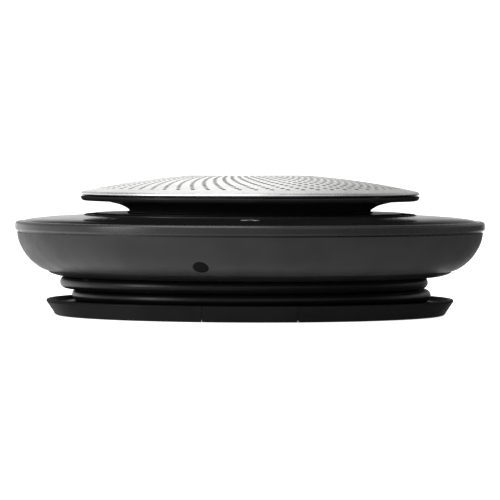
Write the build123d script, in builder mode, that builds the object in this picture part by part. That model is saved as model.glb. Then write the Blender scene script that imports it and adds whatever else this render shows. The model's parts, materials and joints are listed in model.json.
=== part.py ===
"""Round portable conference speakerphone: a domed speaker pod on a neck, a touch ring, a bowl-shaped
housing, and a dish base round which the captive USB lead is wound, with a fold-out stand."""
from build123d import *
import math
import os

os.makedirs("parts", exist_ok=True)

# Frame: millimetres, +Z up, origin on the table under the centre, the front faces -Y.

# ---- driving dimensions -------------------------------------------------------------------------
RIM_R = 66.25            # widest radius, the rim band
TOP_Z = 39.95            # crown of the grille
POD_R = 47.8             # lower lip of the speaker pod
NECK_R = 34.05           # narrowest part of the pod
COLLAR_R = 46.8          # raised collar round the neck
COLLAR_Z = 28.95         # top of the collar
HOUSING_BASE_Z = 11.1    # underside of the bottom cover, the ceiling of the cord channel
COVER_TOP_Z = 12.9       # inside face of the bottom cover
SPLIT_Z = 23.4           # split between lower housing and rim band
DRUM_R = 45.8            # drum the cord is wound on
FOOT_DROP = 0.2          # how far the rubber foot stands below the base plate
GAP = 0.3                # gap between pieces that move past each other
SLOT_GAP = 0.12          # gap on each side of the stand flap
FIT = 0.05               # gap between pieces that are fitted into each other
SCREW_R = 1.0            # shank of the housing, drum and base screws
SCREW_HOLE_R = 1.03
CLEAR_HOLE_R = 1.15
SUNK_HEAD_R = 2.2        # countersunk heads and their seats
SUNK_SEAT_R = 2.35
HEAD_DEPTH = 1.2
PAN_HEAD_R = 2.0
PAN_HEAD_H = 1.1
FINE_SCREW_R = 0.9       # shank of the pod, driver and board screws
FINE_HOLE_R = 0.93
FINE_CLEAR_R = 1.0
FINE_HEAD_R = 1.7
FINE_HEAD_H = 1.0
LED_COUNT = 12
QUARTERS = 4

POST_X = 30.0            # drum posts, shared by the base screws and the drum screws
POST_Y = 20.0
POST_R = 3.2
BOSS_PCD_R = 51.0        # six long screws that clamp bottom cover, lower housing and top cover
BOSS_R = 2.8
BOSS_START = 30.0
BOSS_COUNT = 6

CORD_D = 3.5
CORD_R = CORD_D / 2
UPPER_TURN_Z = 9.32
LOWER_TURN_Z = 5.72
TURN_STEP = 20.0         # degrees from one point of a turn to the next

PLUG_Y = 36.1            # centre line of the stowed plug
PLUG_Z = 7.2
PLUG_TAIL_X = -20.0
PLUG_BODY_L = 21.0
PLUG_BODY_W = 14.4
PLUG_BODY_H = 7.0
PLUG_SHELL_L = 12.0
PLUG_SHELL_W = 12.0
PLUG_SHELL_H = 4.5
PLUG_SHELL_T = 0.35
PLUG_TAIL_L = 4.0        # tapered tail of the plug body
PLUG_SEAT_L = 6.0        # how far the metal shell goes into the body

STAND_HALF_W = 13.0
SLOT_HALF_W = STAND_HALF_W + SLOT_GAP
HINGE_Y = -14.5
HINGE_Z = 3.2
HINGE_PIN_R = 1.0
BARREL_R = 2.8


def outline(*points):
    """Closed straight-sided profile, each point a radius and a height."""
    with BuildSketch(Plane.XZ) as profile:
        with BuildLine():
            Polyline(*points, close=True)
        make_face()
    return profile.sketch


def at_angle(radius, degrees, height=0.0):
    """Point at a radius and an angle from +X, seen from above."""
    turn = math.radians(degrees)
    return (radius * math.cos(turn), radius * math.sin(turn), height)


def quarter_points(radius, start, count=QUARTERS):
    """Plan positions evenly spaced round the axis."""
    return [at_angle(radius, start + 360.0 / count * i)[:2] for i in range(count)]


POSTS = [(POST_X, POST_Y), (-POST_X, POST_Y), (POST_X, -POST_Y), (-POST_X, -POST_Y)]
BOSSES = quarter_points(BOSS_PCD_R, BOSS_START, BOSS_COUNT)


# ---- speaker pod --------------------------------------------------------------------------------
GRILLE_R = 46.9
GRILLE_EDGE_Z = 34.95
GRILLE_T = 0.55
GRILLE_SEAT_Z = 34.1
DOME_MID_R = 24.0        # where the arcs of the dome's section have their middle point
DOME_RISE = TOP_Z - GRILLE_EDGE_Z
DOME_R = (GRILLE_R ** 2 + DOME_RISE ** 2) / (2 * DOME_RISE)


def dome_z(radius, below=0.0):
    """Height of the dome's surface, or of one parallel to it, at a radius."""
    return TOP_Z - below - (DOME_R - below - math.sqrt((DOME_R - below) ** 2 - radius ** 2))


GRILLE_SEAT_R = 46.2
GRILLE_INNER_R = 45.8
with BuildPart() as speaker_grille:
    with BuildSketch(Plane.XZ):
        with BuildLine():
            ThreePointArc((0, TOP_Z), (DOME_MID_R, dome_z(DOME_MID_R)), (GRILLE_R, GRILLE_EDGE_Z))
            Line((GRILLE_R, GRILLE_EDGE_Z), (GRILLE_R, GRILLE_SEAT_Z))
            Line((GRILLE_R, GRILLE_SEAT_Z), (GRILLE_SEAT_R, GRILLE_SEAT_Z))
            Line((GRILLE_SEAT_R, GRILLE_SEAT_Z), (GRILLE_INNER_R, dome_z(GRILLE_INNER_R, GRILLE_T)))
            ThreePointArc((GRILLE_INNER_R, dome_z(GRILLE_INNER_R, GRILLE_T)),
                          (DOME_MID_R, dome_z(DOME_MID_R, GRILLE_T)), (0, TOP_Z - GRILLE_T))
            Line((0, TOP_Z - GRILLE_T), (0, TOP_Z))
        make_face()
    revolve(axis=Axis.Z)
speaker_grille.part.label = "speaker_grille"
export_step(speaker_grille.part, "parts/speaker_grille.step")

CLOTH_R = 45.1
CLOTH_TOP = GRILLE_T + FIT
CLOTH_UNDER = CLOTH_TOP + 0.3
with BuildPart() as grille_cloth:
    with BuildSketch(Plane.XZ):
        with BuildLine():
            ThreePointArc((0, TOP_Z - CLOTH_TOP), (DOME_MID_R, dome_z(DOME_MID_R, CLOTH_TOP)),
                          (CLOTH_R, dome_z(CLOTH_R, CLOTH_TOP)))
            Line((CLOTH_R, dome_z(CLOTH_R, CLOTH_TOP)), (CLOTH_R, dome_z(CLOTH_R, CLOTH_UNDER)))
            ThreePointArc((CLOTH_R, dome_z(CLOTH_R, CLOTH_UNDER)),
                          (DOME_MID_R, dome_z(DOME_MID_R, CLOTH_UNDER)), (0, TOP_Z - CLOTH_UNDER))
            Line((0, TOP_Z - CLOTH_UNDER), (0, TOP_Z - CLOTH_TOP))
        make_face()
    revolve(axis=Axis.Z)
grille_cloth.part.label = "grille_cloth"
export_step(grille_cloth.part, "parts/grille_cloth.step")

FLANGE_TOP_Z = 33.6
TRIM_IN_R = 45.4
TRIM_UNDER_Z = 33.88     # underside of the rolled edge
TRIM_TOP_Z = 34.87
with BuildPart() as grille_trim_ring:
    with BuildSketch(Plane.XZ):
        with BuildLine():
            Polyline((TRIM_IN_R, GRILLE_SEAT_Z), (TRIM_IN_R, FLANGE_TOP_Z), (GRILLE_R, FLANGE_TOP_Z),
                     (GRILLE_R, TRIM_UNDER_Z), (47.4, TRIM_UNDER_Z))
            ThreePointArc((47.4, TRIM_UNDER_Z), (47.76, 34.34), (47.25, TRIM_TOP_Z))
            Polyline((47.25, TRIM_TOP_Z), (GRILLE_R + FIT, TRIM_TOP_Z), (GRILLE_R + FIT, GRILLE_SEAT_Z),
                     (TRIM_IN_R, GRILLE_SEAT_Z))
        make_face()
    revolve(axis=Axis.Z)
grille_trim_ring.part.label = "grille_trim_ring"
export_step(grille_trim_ring.part, "parts/grille_trim_ring.step")

BAFFLE_Z = 33.0
SPIGOT_R = 33.1
SPIGOT_BORE_R = 29.8
PLATE_Z = 22.6
SHOULDER_Z = 29.2
DRIVER_SCREW_R = 31.8
POD_SCREW_R = 31.45
with BuildPart() as speaker_pod:
    with BuildSketch(Plane.XZ):
        with BuildLine():
            Polyline((SPIGOT_BORE_R, PLATE_Z), (SPIGOT_R, PLATE_Z), (SPIGOT_R, SHOULDER_Z),
                     (NECK_R, SHOULDER_Z))
            Spline((NECK_R, SHOULDER_Z), (34.7, 30.1), (36.4, 30.97), (39.6, 31.78), (43.6, 32.1),
                   tangents=[(0, 1), (1, 0.05)])
            Line((43.6, 32.1), (46.6, 32.25))
            ThreePointArc((46.6, 32.25), (47.55, 32.6), (POD_R, 33.1))
            ThreePointArc((POD_R, 33.1), (47.75, 33.4), (47.5, FLANGE_TOP_Z))
            Polyline((47.5, FLANGE_TOP_Z), (45.3, FLANGE_TOP_Z), (45.3, BAFFLE_Z), (28.9, BAFFLE_Z),
                     (28.9, 31.0), (SPIGOT_BORE_R, 30.2), (SPIGOT_BORE_R, PLATE_Z))
        make_face()
    revolve(axis=Axis.Z)
    with BuildSketch(Plane.XY.offset(BAFFLE_Z)):
        with PolarLocations(DRIVER_SCREW_R, QUARTERS, start_angle=45):
            Circle(FINE_HOLE_R)
    extrude(amount=-5.2, mode=Mode.SUBTRACT)
    with BuildSketch(Plane.XY.offset(PLATE_Z)):
        with PolarLocations(POD_SCREW_R, QUARTERS):
            Circle(FINE_HOLE_R)
    extrude(amount=4.8, mode=Mode.SUBTRACT)
speaker_pod.part.label = "speaker_pod"
export_step(speaker_pod.part, "parts/speaker_pod.step")

SEAL_IN_R = SPIGOT_R + FIT
SEAL_OUT_R = 34.6
with BuildPart() as pod_seal:
    revolve(outline((SEAL_IN_R, COLLAR_Z), (SEAL_OUT_R, COLLAR_Z), (SEAL_OUT_R, SHOULDER_Z),
                    (SEAL_IN_R, SHOULDER_Z)), axis=Axis.Z)
pod_seal.part.label = "pod_seal"
export_step(pod_seal.part, "parts/pod_seal.step")

LOCK_RING_Z = 21.2
with BuildPart() as pod_lock_ring:
    with BuildSketch(Plane.XY.offset(LOCK_RING_Z)):
        Circle(37.0)
        Circle(SPIGOT_BORE_R, mode=Mode.SUBTRACT)
        with PolarLocations(POD_SCREW_R, QUARTERS):
            Circle(FINE_CLEAR_R, mode=Mode.SUBTRACT)
    extrude(amount=PLATE_Z - LOCK_RING_Z)
pod_lock_ring.part.label = "pod_lock_ring"
export_step(pod_lock_ring.part, "parts/pod_lock_ring.step")

with BuildPart() as pod_screws:
    with BuildSketch(Plane.XY.offset(LOCK_RING_Z)):
        with PolarLocations(POD_SCREW_R, QUARTERS):
            Circle(FINE_HEAD_R)
    extrude(amount=-FINE_HEAD_H)
    with BuildSketch(Plane.XY.offset(LOCK_RING_Z)):
        with PolarLocations(POD_SCREW_R, QUARTERS):
            Circle(FINE_SCREW_R)
    extrude(amount=5.4)
pod_screws.part.label = "pod_screws"
export_step(pod_screws.part, "parts/pod_screws.step")


# ---- loudspeaker driver -------------------------------------------------------------------------
FRAME_Z = 33.3           # underside of the driver's flange
FRAME_TOP_Z = 34.2
with BuildPart() as driver_gasket:
    with BuildSketch(Plane.XY.offset(BAFFLE_Z)):
        Circle(33.8)
        Circle(29.0, mode=Mode.SUBTRACT)
        with PolarLocations(DRIVER_SCREW_R, QUARTERS, start_angle=45):
            Circle(FINE_CLEAR_R, mode=Mode.SUBTRACT)
    extrude(amount=FRAME_Z - BAFFLE_Z)
driver_gasket.part.label = "driver_gasket"
export_step(driver_gasket.part, "parts/driver_gasket.step")

YOKE_TOP_Z = 22.9
with BuildPart() as driver_basket:
    revolve(outline((27.0, FRAME_TOP_Z), (34.0, FRAME_TOP_Z), (34.0, FRAME_Z), (28.2, FRAME_Z), (28.2, 30.2),
                    (20.6, 24.4), (20.6, YOKE_TOP_Z), (11.7, YOKE_TOP_Z), (11.7, 24.1), (17.4, 24.1),
                    (17.4, 25.2), (19.6, 25.2), (27.0, 30.8)), axis=Axis.Z)
    with BuildSketch(Plane.XY.offset(25.6)):
        with PolarLocations(24.6, 6):
            RectangleRounded(7.8, 9.0, 1.2)
    extrude(amount=5.0, mode=Mode.SUBTRACT)
    with BuildSketch(Plane.XY.offset(FRAME_TOP_Z)):
        with PolarLocations(DRIVER_SCREW_R, QUARTERS, start_angle=45):
            Circle(FINE_CLEAR_R)
    extrude(amount=-1.0, mode=Mode.SUBTRACT)
driver_basket.part.label = "driver_basket"
export_step(driver_basket.part, "parts/driver_basket.step")

YOKE_R = 14.0
YOKE_Z = 14.0
YOKE_FLOOR_Z = 15.8      # inside face of the yoke, where the magnet stands
MAGNET_H = 4.8
PLATE_H = 2.0
with BuildPart() as driver_yoke:
    revolve(outline((0, YOKE_Z), (13.2, YOKE_Z), (YOKE_R, 14.8), (YOKE_R, YOKE_TOP_Z), (11.4, YOKE_TOP_Z),
                    (11.4, YOKE_FLOOR_Z), (0, YOKE_FLOOR_Z)), axis=Axis.Z)
driver_yoke.part.label = "driver_yoke"
export_step(driver_yoke.part, "parts/driver_yoke.step")

with BuildPart() as driver_magnet:
    with BuildSketch(Plane.XY.offset(YOKE_FLOOR_Z)):
        Circle(9.2)
    extrude(amount=MAGNET_H)
driver_magnet.part.label = "driver_magnet"
export_step(driver_magnet.part, "parts/driver_magnet.step")

with BuildPart() as driver_pole_plate:
    with BuildSketch(Plane.XY.offset(YOKE_FLOOR_Z + MAGNET_H)):
        Circle(9.55)
    extrude(amount=PLATE_H)
driver_pole_plate.part.label = "driver_pole_plate"
export_step(driver_pole_plate.part, "parts/driver_pole_plate.step")

with BuildPart() as voice_coil:
    revolve(outline((10.0, 18.6), (10.9, 18.6), (10.9, 22.3), (10.3, 22.3), (10.3, 27.2), (10.0, 27.2)),
            axis=Axis.Z)
voice_coil.part.label = "voice_coil"
export_step(voice_coil.part, "parts/voice_coil.step")

CONE_EDGE_R = 23.0
CONE_EDGE_Z = 34.1
with BuildPart() as driver_cone:
    with BuildSketch(Plane.XZ):
        with BuildLine():
            Polyline((10.35, 26.3), (10.35, 27.1), (11.0, 27.1))
            ThreePointArc((11.0, 27.1), (16.0, 31.4), (21.6, CONE_EDGE_Z))
            Polyline((21.6, CONE_EDGE_Z), (CONE_EDGE_R, CONE_EDGE_Z), (CONE_EDGE_R, 33.7), (21.9, 33.7))
            ThreePointArc((21.9, 33.7), (16.4, 30.9), (11.2, 26.3))
            Line((11.2, 26.3), (10.35, 26.3))
        make_face()
    revolve(axis=Axis.Z)
driver_cone.part.label = "driver_cone"
export_step(driver_cone.part, "parts/driver_cone.step")

CAP_R = 20.0             # radius of the dust cap's sphere
CAP_Z = 31.4
CAP_T = 0.4


def cap_z(radius, below=0.0):
    """Height of the dust cap's outer surface, or of its inner one, at a radius."""
    return CAP_Z - CAP_R + math.sqrt((CAP_R - below) ** 2 - radius ** 2)


with BuildPart() as dust_cap:
    with BuildSketch(Plane.XZ):
        with BuildLine():
            ThreePointArc((0, cap_z(0)), (6.5, cap_z(6.5)), (11.4, cap_z(11.4)))
            Line((11.4, cap_z(11.4)), (11.2, cap_z(11.2, CAP_T)))
            ThreePointArc((11.2, cap_z(11.2, CAP_T)), (6.5, cap_z(6.5, CAP_T)), (0, cap_z(0, CAP_T)))
            Line((0, cap_z(0, CAP_T)), (0, cap_z(0)))
        make_face()
    revolve(axis=Axis.Z)
dust_cap.part.label = "dust_cap"
export_step(dust_cap.part, "parts/dust_cap.step")

ROLL_R = 25.3            # middle of the surround's half roll
with BuildPart() as surround:
    with BuildSketch(Plane.XZ):
        with BuildLine():
            Polyline((21.8, CONE_EDGE_Z), (21.8, 34.4), (23.4, 34.4))
            ThreePointArc((23.4, 34.4), (ROLL_R, 36.1), (27.2, 34.5))
            Polyline((27.2, 34.5), (29.6, 34.5), (29.6, FRAME_TOP_Z), (26.9, FRAME_TOP_Z))
            ThreePointArc((26.9, FRAME_TOP_Z), (ROLL_R, 35.8), (23.7, CONE_EDGE_Z))
            Line((23.7, CONE_EDGE_Z), (21.8, CONE_EDGE_Z))
        make_face()
    revolve(axis=Axis.Z)
surround.part.label = "surround"
export_step(surround.part, "parts/surround.step")

SPIDER_Z = 25.2
SPIDER_T = 0.3
with BuildPart() as spider:
    crests = [(10.35 + 1.1 * i, SPIDER_Z + (0.5 if i % 2 else 0.0)) for i in range(9)]
    upper = [(r, z + SPIDER_T) for r, z in reversed(crests)]
    revolve(outline(*crests, *upper), axis=Axis.Z)
spider.part.label = "spider"
export_step(spider.part, "parts/spider.step")

with BuildPart() as driver_screws:
    with BuildSketch(Plane.XY.offset(FRAME_TOP_Z)):
        with PolarLocations(DRIVER_SCREW_R, QUARTERS, start_angle=45):
            Circle(FINE_HEAD_R)
    extrude(amount=FINE_HEAD_H)
    with BuildSketch(Plane.XY.offset(FRAME_TOP_Z)):
        with PolarLocations(DRIVER_SCREW_R, QUARTERS, start_angle=45):
            Circle(FINE_SCREW_R)
    extrude(amount=-6.0)
driver_screws.part.label = "driver_screws"
export_step(driver_screws.part, "parts/driver_screws.step")


# ---- top cover, touch ring and rim --------------------------------------------------------------
LIGHT_R = 44.1           # circle of the status lights
GROOVE_Z = 28.15         # floor of the light ring's groove
GROOVE_IN_R = 43.55
GROOVE_OUT_R = 46.25
COLLAR_UNDER_Z = 27.5
DECK_Z = 24.0            # face of the cover outside the collar
RIB_TOP_Z = 24.7         # ribs that carry the touch board
BOSS_FOOT_Z = 14.5       # lower end of the screw bosses
LED_TOP_Z = 26.8
with BuildPart() as top_cover:
    with BuildSketch(Plane.XZ):
        with BuildLine():
            Polyline((33.2, COLLAR_Z), (33.2, PLATE_Z), (35.0, PLATE_Z), (35.0, COLLAR_UNDER_Z),
                     (45.2, COLLAR_UNDER_Z), (45.2, PLATE_Z), (63.7, PLATE_Z), (63.7, 25.1), (62.3, 25.1),
                     (62.3, DECK_Z), (59.5, DECK_Z), (59.5, RIB_TOP_Z), (58.7, RIB_TOP_Z), (58.7, DECK_Z),
                     (50.3, DECK_Z), (50.3, RIB_TOP_Z), (49.5, RIB_TOP_Z), (49.5, DECK_Z),
                     (COLLAR_R, DECK_Z), (COLLAR_R, 28.2))
            ThreePointArc((COLLAR_R, 28.2), (46.72, 28.42), (46.5, 28.53))
            Polyline((46.5, 28.53), (GROOVE_OUT_R, 28.55), (GROOVE_OUT_R, GROOVE_Z), (GROOVE_IN_R, GROOVE_Z),
                     (GROOVE_IN_R, 28.85), (37.0, COLLAR_Z), (33.2, COLLAR_Z))
        make_face()
    revolve(axis=Axis.Z)
    with BuildSketch(Plane.XY.offset(COLLAR_UNDER_Z)):
        with PolarLocations(39.5, QUARTERS):
            Circle(1.4)
    extrude(amount=-1.3)
    with BuildSketch(Plane.XY.offset(BOSS_FOOT_Z)):
        with Locations(*BOSSES):
            Circle(BOSS_R)
    extrude(until=Until.NEXT)
    with BuildSketch(Plane.XY.offset(BOSS_FOOT_Z)):
        with Locations(*BOSSES):
            Circle(SCREW_HOLE_R)
    extrude(amount=6.5, mode=Mode.SUBTRACT)
    with BuildSketch(Plane.XY.offset(GROOVE_Z)):
        with PolarLocations(LIGHT_R, LED_COUNT):
            Circle(0.45)
    extrude(amount=-1.0, mode=Mode.SUBTRACT)
top_cover.part.label = "top_cover"
export_step(top_cover.part, "parts/top_cover.step")

with BuildPart() as light_ring:
    revolve(outline((GROOVE_IN_R + FIT, GROOVE_Z), (GROOVE_OUT_R - FIT, GROOVE_Z), (GROOVE_OUT_R - FIT, 28.5),
                    (GROOVE_IN_R + FIT, 28.72)), axis=Axis.Z)
    with BuildSketch(Plane.XY.offset(GROOVE_Z)):
        with PolarLocations(LIGHT_R, LED_COUNT):
            Circle(0.4)
    extrude(amount=-(GROOVE_Z - LED_TOP_Z - 0.1))
light_ring.part.label = "light_ring"
export_step(light_ring.part, "parts/light_ring.step")

LED_BOARD_Z = 25.4
LED_BOARD_TOP_Z = 26.2
with BuildPart() as led_board:
    with BuildSketch(Plane.XY.offset(LED_BOARD_Z)):
        Circle(45.0)
        Circle(35.4, mode=Mode.SUBTRACT)
    extrude(amount=LED_BOARD_TOP_Z - LED_BOARD_Z)
led_board.part.label = "led_board"
export_step(led_board.part, "parts/led_board.step")

with BuildPart() as status_leds:
    with BuildSketch(Plane.XY.offset(LED_BOARD_TOP_Z)):
        with PolarLocations(LIGHT_R, LED_COUNT):
            Rectangle(1.5, 1.5)
    extrude(amount=LED_TOP_Z - LED_BOARD_TOP_Z)
status_leds.part.label = "status_leds"
export_step(status_leds.part, "parts/status_leds.step")

PANEL_IN_R = 47.0
PANEL_OUT_R = 64.8
MIC_R = 50.5
MIC_START = 45.0
with BuildPart() as touch_panel:
    with BuildSketch(Plane.XZ):
        with BuildLine():
            Polyline((PANEL_IN_R, 28.2), (PANEL_IN_R, 26.9), (60.8, 25.95), (62.2, 25.15),
                     (PANEL_OUT_R, 25.15), (PANEL_OUT_R, 26.45))
            Spline((PANEL_OUT_R, 26.45), (62.4, 27.0), (57.3, 27.58), (PANEL_IN_R, 28.2),
                   tangents=[(-1, 0.28), (-1, 0.05)])
        make_face()
    revolve(axis=Axis.Z)
    with BuildSketch(Plane.XY.offset(26.0)):
        with PolarLocations(MIC_R, QUARTERS, start_angle=MIC_START):
            Circle(0.4)
    extrude(amount=3.0, mode=Mode.SUBTRACT)
touch_panel.part.label = "touch_panel"
export_step(touch_panel.part, "parts/touch_panel.step")

TOUCH_BOARD_Z = RIB_TOP_Z
TOUCH_BOARD_TOP_Z = 25.7
with BuildPart() as touch_board:
    with BuildSketch(Plane.XY.offset(TOUCH_BOARD_Z)):
        Circle(60.4)
        Circle(48.0, mode=Mode.SUBTRACT)
    extrude(amount=TOUCH_BOARD_TOP_Z - TOUCH_BOARD_Z)
touch_board.part.label = "touch_board"
export_step(touch_board.part, "parts/touch_board.step")

with BuildPart() as microphones:
    with BuildSketch(Plane.XY.offset(TOUCH_BOARD_TOP_Z)):
        with PolarLocations(MIC_R, QUARTERS, start_angle=MIC_START):
            Rectangle(2.6, 2.0)
            Circle(0.3, mode=Mode.SUBTRACT)
    extrude(amount=0.7)
microphones.part.label = "microphones"
export_step(microphones.part, "parts/microphones.step")

with BuildPart() as mic_gaskets:
    with BuildSketch(Plane.XY.offset(TOUCH_BOARD_TOP_Z)):
        with PolarLocations(MIC_R, QUARTERS, start_angle=MIC_START):
            Circle(2.4)
            Circle(1.75, mode=Mode.SUBTRACT)
    extrude(amount=0.72)
mic_gaskets.part.label = "mic_gaskets"
export_step(mic_gaskets.part, "parts/mic_gaskets.step")

with BuildPart() as rim_band:
    with BuildSketch(Plane.XZ):
        with BuildLine():
            Polyline((63.95, SPLIT_Z), (65.2, SPLIT_Z), (65.2, 23.82), (65.75, 23.82), (RIM_R, 24.35),
                     (RIM_R, 25.7))
            ThreePointArc((RIM_R, 25.7), (65.95, 26.28), (65.1, 26.52))
            Polyline((65.1, 26.52), (64.95, 26.5), (64.95, 25.0), (63.95, 25.0), (63.95, SPLIT_Z))
        make_face()
    revolve(axis=Axis.Z)
rim_band.part.label = "rim_band"
export_step(rim_band.part, "parts/rim_band.step")


# ---- housing ------------------------------------------------------------------------------------
with BuildPart() as lower_housing:
    with BuildSketch(Plane.XZ):
        with BuildLine():
            Spline((65.72, SPLIT_Z), (65.3, 21.0), (64.0, 18.2), (61.9, 15.5), (59.2, 13.4), (57.35, 12.62),
                   tangents=[(-0.06, -1), (-1, -0.3)])
            Polyline((57.35, 12.62), (55.5, 12.62), (55.5, COVER_TOP_Z), (47.5, COVER_TOP_Z), (47.5, 14.3),
                     (56.4, 14.3))
            Spline((56.4, 14.3), (60.1, 16.3), (62.3, 19.0), (63.4, 21.4), (63.95, SPLIT_Z),
                   tangents=[(1, 0.25), (0.12, 1)])
            Line((63.95, SPLIT_Z), (65.72, SPLIT_Z))
        make_face()
    revolve(axis=Axis.Z)
    with BuildSketch(Plane.XY.offset(COVER_TOP_Z)):
        with Locations(*BOSSES):
            Circle(CLEAR_HOLE_R)
    extrude(amount=1.6, mode=Mode.SUBTRACT)
lower_housing.part.label = "lower_housing"
export_step(lower_housing.part, "parts/lower_housing.step")

BOARD_Z = 15.2
BOARD_TOP_Z = 16.4
BOARD_BOSSES = [at_angle(42.0, degrees)[:2] for degrees in (20, 60, 120, 160)]
WIRE_HOLE = (23.0, 28.0)
with BuildPart() as bottom_cover:
    with BuildSketch(Plane.XZ):
        with BuildLine():
            Polyline((0, COVER_TOP_Z), (0, HOUSING_BASE_Z), (53.4, HOUSING_BASE_Z))
            Spline((53.4, HOUSING_BASE_Z), (55.6, 11.62), (57.0, 12.55), tangents=[(1, 0.1), (0.5, 1)])
            Polyline((57.0, 12.55), (55.4, 12.55), (55.4, COVER_TOP_Z), (0, COVER_TOP_Z))
        make_face()
    revolve(axis=Axis.Z)
    with BuildSketch(Plane.XY.offset(COVER_TOP_Z)):
        with Locations(*BOARD_BOSSES):
            Circle(2.6)
    extrude(amount=BOARD_Z - COVER_TOP_Z)
    with BuildSketch(Plane.XY.offset(BOARD_Z)):
        with Locations(*BOARD_BOSSES):
            Circle(FINE_HOLE_R)
    extrude(amount=-3.0, mode=Mode.SUBTRACT)
    with BuildSketch(Plane.XY.offset(HOUSING_BASE_Z)):
        with Locations(*POSTS, *BOSSES):
            Circle(CLEAR_HOLE_R)
        with Locations(WIRE_HOLE):
            Circle(3.0)
    extrude(amount=2.0, mode=Mode.SUBTRACT)
    with BuildSketch(Plane.XY.offset(HOUSING_BASE_Z)):
        with Locations(*BOSSES):
            Circle(SUNK_SEAT_R)
    extrude(amount=HEAD_DEPTH, taper=45, mode=Mode.SUBTRACT)
bottom_cover.part.label = "bottom_cover"
export_step(bottom_cover.part, "parts/bottom_cover.step")

with BuildPart() as housing_screws:
    with BuildSketch(Plane.XY.offset(HOUSING_BASE_Z)):
        with Locations(*BOSSES):
            Circle(SUNK_HEAD_R)
    extrude(amount=HEAD_DEPTH, taper=45)
    with BuildSketch(Plane.XY.offset(HOUSING_BASE_Z + 1.0)):
        with Locations(*BOSSES):
            Circle(SCREW_R)
    extrude(amount=8.4)
housing_screws.part.label = "housing_screws"
export_step(housing_screws.part, "parts/housing_screws.step")


# ---- electronics and battery --------------------------------------------------------------------
with BuildPart() as main_board:
    with BuildSketch(Plane.XY.offset(BOARD_Z)):
        Circle(47.0)
        Circle(17.0, mode=Mode.SUBTRACT)
        with Locations((0, -39.0)):
            Rectangle(51.0, 48.0, mode=Mode.SUBTRACT)
        with Locations(*BOARD_BOSSES):
            Circle(FINE_CLEAR_R, mode=Mode.SUBTRACT)
    extrude(amount=BOARD_TOP_Z - BOARD_Z)
main_board.part.label = "main_board"
export_step(main_board.part, "parts/main_board.step")

with BuildPart() as board_screws:
    with BuildSketch(Plane.XY.offset(BOARD_TOP_Z)):
        with Locations(*BOARD_BOSSES):
            Circle(FINE_HEAD_R)
    extrude(amount=FINE_HEAD_H)
    with BuildSketch(Plane.XY.offset(BOARD_TOP_Z)):
        with Locations(*BOARD_BOSSES):
            Circle(FINE_SCREW_R)
    extrude(amount=-3.8)
board_screws.part.label = "board_screws"
export_step(board_screws.part, "parts/board_screws.step")

SHIELD_PLACE = (-4.0, 31.0)
SHIELD_L = 22.0
SHIELD_W = 14.0
SHIELD_H = 2.2
SHIELD_T = 0.3
with BuildPart() as shield_can:
    with BuildSketch(Plane.XY.offset(BOARD_TOP_Z)):
        with Locations(SHIELD_PLACE):
            RectangleRounded(SHIELD_L, SHIELD_W, 1.0)
    extrude(amount=SHIELD_H)
    with BuildSketch(Plane.XY.offset(BOARD_TOP_Z)):
        with Locations(SHIELD_PLACE):
            RectangleRounded(SHIELD_L - 2 * SHIELD_T, SHIELD_W - 2 * SHIELD_T, 0.8)
    extrude(amount=SHIELD_H - SHIELD_T, mode=Mode.SUBTRACT)
shield_can.part.label = "shield_can"
export_step(shield_can.part, "parts/shield_can.step")

with BuildPart() as board_capacitors:
    with BuildSketch(Plane.XY.offset(BOARD_TOP_Z)):
        with PolarLocations(39.0, 5, start_angle=-44, angular_range=45):
            Circle(2.0)
    extrude(amount=4.2)
board_capacitors.part.label = "board_capacitors"
export_step(board_capacitors.part, "parts/board_capacitors.step")

HEADER_PLACE = (30.0, 29.5)
HEADER_H = 3.4
with BuildPart() as usb_header:
    with BuildSketch(Plane.XY.offset(BOARD_TOP_Z)):
        with Locations(HEADER_PLACE):
            Rectangle(8.0, 4.6)
    extrude(amount=HEADER_H)
    with BuildSketch(Plane.XY.offset(BOARD_TOP_Z + HEADER_H)):
        with Locations(HEADER_PLACE):
            Rectangle(6.8, 3.0)
    extrude(amount=-2.4, mode=Mode.SUBTRACT)
usb_header.part.label = "usb_header"
export_step(usb_header.part, "parts/usb_header.step")

CONNECTOR_PLACE = (-36.0, -6.0)
CONNECTOR_H = 3.0
with BuildPart() as battery_connector:
    with BuildSketch(Plane.XY.offset(BOARD_TOP_Z)):
        with Locations(CONNECTOR_PLACE):
            Rectangle(4.4, 6.4)
    extrude(amount=CONNECTOR_H)
    with BuildSketch(Plane.XY.offset(BOARD_TOP_Z + CONNECTOR_H)):
        with Locations(CONNECTOR_PLACE):
            Rectangle(2.8, 5.2)
    extrude(amount=-2.0, mode=Mode.SUBTRACT)
battery_connector.part.label = "battery_connector"
export_step(battery_connector.part, "parts/battery_connector.step")

BATTERY_Y = -28.3
PAD_T = 0.4
with BuildPart() as battery_pad:
    with BuildSketch(Plane.XY.offset(COVER_TOP_Z)):
        with Locations((0, BATTERY_Y)):
            Rectangle(46.0, 22.0)
    extrude(amount=PAD_T)
battery_pad.part.label = "battery_pad"
export_step(battery_pad.part, "parts/battery_pad.step")

with BuildPart() as battery:
    with BuildSketch(Plane.XY.offset(COVER_TOP_Z + PAD_T)):
        with Locations((0, BATTERY_Y)):
            RectangleRounded(48.0, 24.0, 1.5)
    extrude(amount=6.6)
    fillet(battery.edges().filter_by(Plane.XY), 0.8)
battery.part.label = "battery"
export_step(battery.part, "parts/battery.step")


# ---- cord channel -------------------------------------------------------------------------------
SEAT_Z = 3.4             # top of the dish's flat floor, where the drum stands
BAY_X0 = -36.0
BAY_X1 = 16.0
BAY_Y = 28.3
BAY_WALL = 1.4
DRUM_BORE_R = 43.6
DRUM_H = HOUSING_BASE_Z - SEAT_Z

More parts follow.
